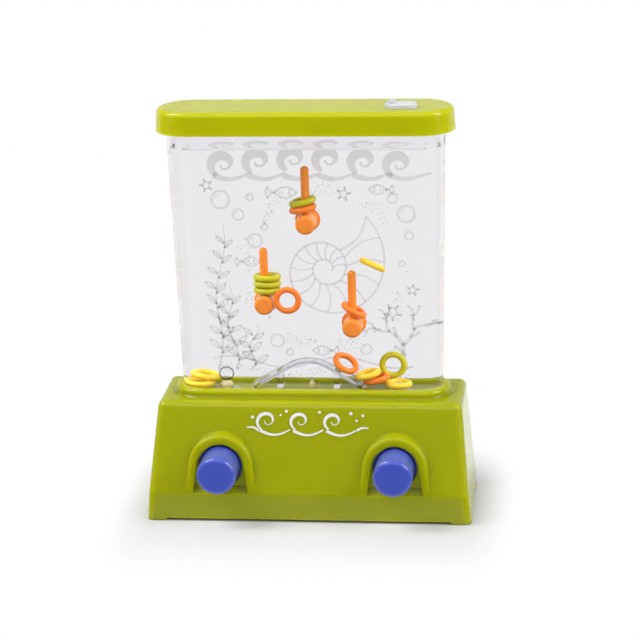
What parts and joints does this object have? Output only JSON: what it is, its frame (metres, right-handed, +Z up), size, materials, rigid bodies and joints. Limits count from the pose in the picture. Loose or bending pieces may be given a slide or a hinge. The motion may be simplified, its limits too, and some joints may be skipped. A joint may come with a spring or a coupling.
{
  "type": "handheld water game",
  "caption": "Clear water tank on a base with two push-button pumps, whose jets lift rings onto upright pegs.",
  "frame": {"origin": "centre of the footprint's bounding box, on the table under the feet", "axes": "+X to the player's right, +Y away from the player, +Z up; the buttons face -Y"},
  "size_m": [0.112, 0.0486, 0.1427],
  "materials": {
    "lime_plastic": "gloss",
    "blue_plastic": "gloss",
    "white_plastic": "satin",
    "plug_plastic": "satin",
    "clear_plastic": "gloss",
    "peg_plastic": "gloss",
    "orange_ring": "gloss",
    "lime_ring": "gloss",
    "yellow_ring": "gloss",
    "bellows_rubber": "matte",
    "seal_rubber": "matte",
    "screw_steel": "satin",
    "water": "gloss"
  },
  "bodies": {
    "body": {"base_shell": "lime_plastic", "base_cover": "lime_plastic", "base_screws": "screw_steel", "bellows_left": "bellows_rubber", "bellows_right": "bellows_rubber", "pump_left": "white_plastic", "pump_right": "white_plastic", "pump_seal_left": "seal_rubber", "pump_seal_right": "seal_rubber", "nozzle_left": "clear_plastic", "nozzle_right": "clear_plastic", "tank": "clear_plastic", "ring_guide": "clear_plastic", "peg_top": "peg_plastic", "peg_left": "peg_plastic", "peg_right": "peg_plastic", "tank_lid": "lime_plastic", "lid_gasket": "seal_rubber", "water": "water"},
    "button_left": {"button_left": "blue_plastic"},
    "button_right": {"button_right": "blue_plastic"},
    "fill_plug": {"fill_plug": "plug_plastic"},
    "rings_peg_top": {"ring_peg_top_lower": "orange_ring", "ring_peg_top_upper": "lime_ring"},
    "rings_peg_left": {"ring_peg_left_lower": "lime_ring", "ring_peg_left_middle": "lime_ring", "ring_peg_left_upper": "lime_ring"},
    "rings_peg_right": {"ring_peg_right": "orange_ring"},
    "rings_loose": {"ring_loose": "orange_ring"},
    "rings_drifting": {"ring_drifting": "yellow_ring"},
    "rings_floor_left": {"ring_floor_left_low": "yellow_ring", "ring_floor_left_top": "yellow_ring"},
    "rings_floor_right": {"ring_floor_right_low": "yellow_ring", "ring_floor_right_middle": "orange_ring", "ring_floor_right_top": "yellow_ring", "ring_floor_right_leaning": "orange_ring", "ring_floor_right_standing": "lime_ring"}
  },
  "joints": [
    {"name": "button_left_press", "type": "slide", "parent": "body", "child": "button_left", "axis": [0, 1, 0], "range_m": [0, 0.006], "stiffness_N_per_m": 300, "springref_m": -0.001, "deforming": ["bellows_left"]},
    {"name": "button_right_press", "type": "slide", "parent": "body", "child": "button_right", "axis": [0, 1, 0], "range_m": [0, 0.006], "stiffness_N_per_m": 300, "springref_m": -0.001, "deforming": ["bellows_right"]},
    {"name": "fill_plug_pull", "type": "slide", "parent": "body", "child": "fill_plug", "axis": [0, 0, 1], "range_m": [0, 0.012]},
    {"name": "rings_peg_top_lift", "type": "slide", "parent": "body", "child": "rings_peg_top", "axis": [0, 0, 1], "range_m": [0, 0.0165], "deforming": ["water"]},
    {"name": "rings_peg_left_lift", "type": "slide", "parent": "body", "child": "rings_peg_left", "axis": [0, 0, 1], "range_m": [0, 0.018], "deforming": ["water"]},
    {"name": "rings_peg_right_lift", "type": "slide", "parent": "body", "child": "rings_peg_right", "axis": [0, 0, 1], "range_m": [0, 0.015], "deforming": ["water"]},
    {"name": "rings_loose_drift", "type": "slide", "parent": "body", "child": "rings_loose", "axis": [1, 0, 0], "range_m": [0, 0.012], "deforming": ["water"]},
    {"name": "rings_drifting_drift", "type": "slide", "parent": "body", "child": "rings_drifting", "axis": [1, 0, 0], "range_m": [0, 0.012], "deforming": ["water"]},
    {"name": "rings_floor_left_lift", "type": "slide", "parent": "body", "child": "rings_floor_left", "axis": [0, 0, 1], "range_m": [0, 0.04], "deforming": ["water"]},
    {"name": "rings_floor_right_lift", "type": "slide", "parent": "body", "child": "rings_floor_right", "axis": [0, 0, 1], "range_m": [0, 0.004], "deforming": ["water"]}
  ]
}
